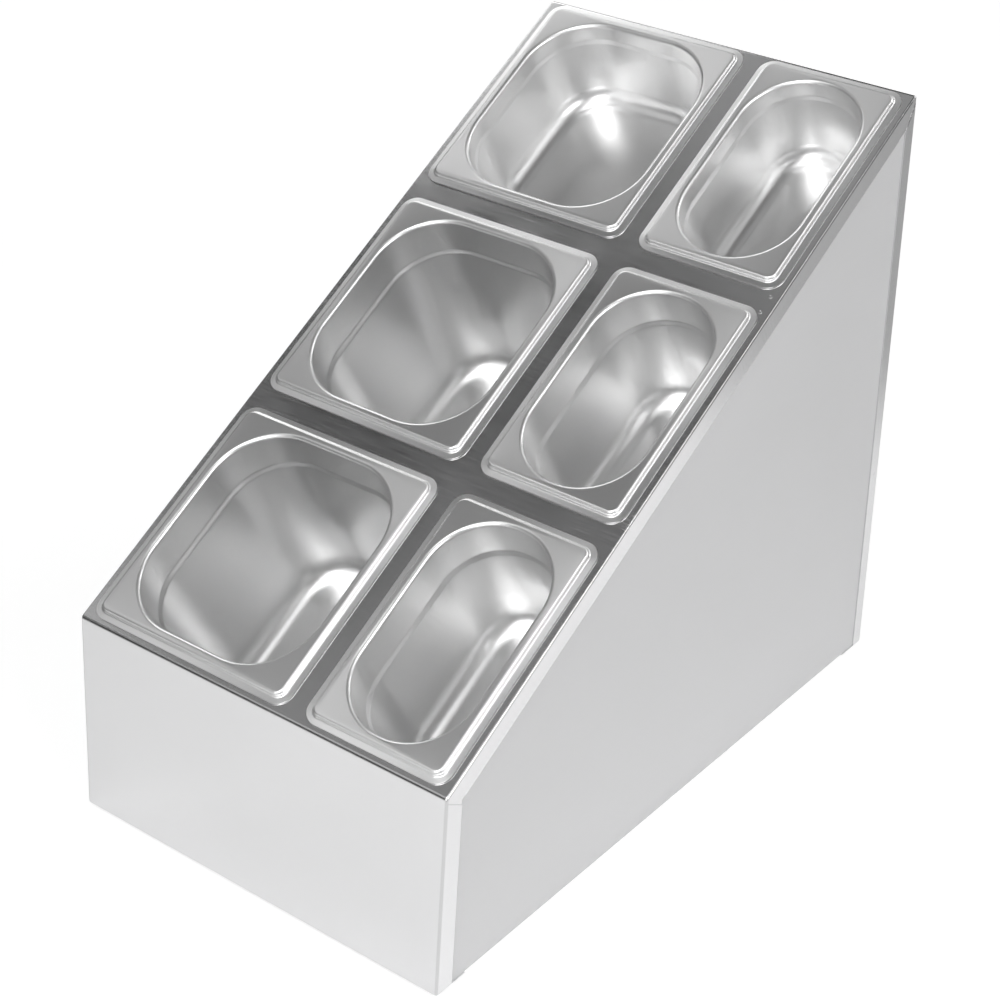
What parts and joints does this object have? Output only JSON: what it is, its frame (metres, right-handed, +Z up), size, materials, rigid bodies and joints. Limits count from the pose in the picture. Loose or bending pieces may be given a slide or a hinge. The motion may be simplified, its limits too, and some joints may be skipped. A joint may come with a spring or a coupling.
{
  "type": "condiment pan holder",
  "caption": "Sloped sheet-steel counter-top holder with rows of lift-out wide and narrow food pans hanging in its deck.",
  "frame": {"origin": "on the surface it stands on, under the middle of its base", "axes": "+X to the right as seen from the low front, +Y from the front to the high back, +Z up"},
  "size_m": [0.294, 0.529, 0.4506],
  "materials": {
    "housing_steel": "brushed stainless steel sheet with a fine, straight grain",
    "pan_steel": "satin deep-drawn stainless steel with a softly polished rim",
    "hidden_steel": "plain mill-finish stainless steel",
    "foot_rubber": "matt black rubber"
  },
  "bodies": {
    "housing": {"shell": "housing_steel", "side_plate_left": "housing_steel", "side_plate_right": "housing_steel", "rail_lower": "hidden_steel", "rail_upper": "hidden_steel", "foot_front_left": "foot_rubber", "foot_front_right": "foot_rubber", "foot_back_left": "foot_rubber", "foot_back_right": "foot_rubber"},
    "pan_lower_left": {"pan_lower_left": "pan_steel"},
    "pan_middle_left": {"pan_middle_left": "pan_steel"},
    "pan_upper_left": {"pan_upper_left": "pan_steel"},
    "pan_lower_right": {"pan_lower_right": "pan_steel"},
    "pan_middle_right": {"pan_middle_right": "pan_steel"},
    "pan_upper_right": {"pan_upper_right": "pan_steel"}
  },
  "joints": [
    {"name": "lift_lower_left", "type": "slide", "parent": "housing", "child": "pan_lower_left", "axis": [0, -0.5329, 0.8462], "range_m": [0, 0.17]},
    {"name": "lift_middle_left", "type": "slide", "parent": "housing", "child": "pan_middle_left", "axis": [0, -0.5329, 0.8462], "range_m": [0, 0.17]},
    {"name": "lift_upper_left", "type": "slide", "parent": "housing", "child": "pan_upper_left", "axis": [0, -0.5329, 0.8462], "range_m": [0, 0.085]},
    {"name": "lift_lower_right", "type": "slide", "parent": "housing", "child": "pan_lower_right", "axis": [0, -0.5329, 0.8462], "range_m": [0, 0.12]},
    {"name": "lift_middle_right", "type": "slide", "parent": "housing", "child": "pan_middle_right", "axis": [0, -0.5329, 0.8462], "range_m": [0, 0.12]},
    {"name": "lift_upper_right", "type": "slide", "parent": "housing", "child": "pan_upper_right", "axis": [0, -0.5329, 0.8462], "range_m": [0, 0.085]}
  ]
}
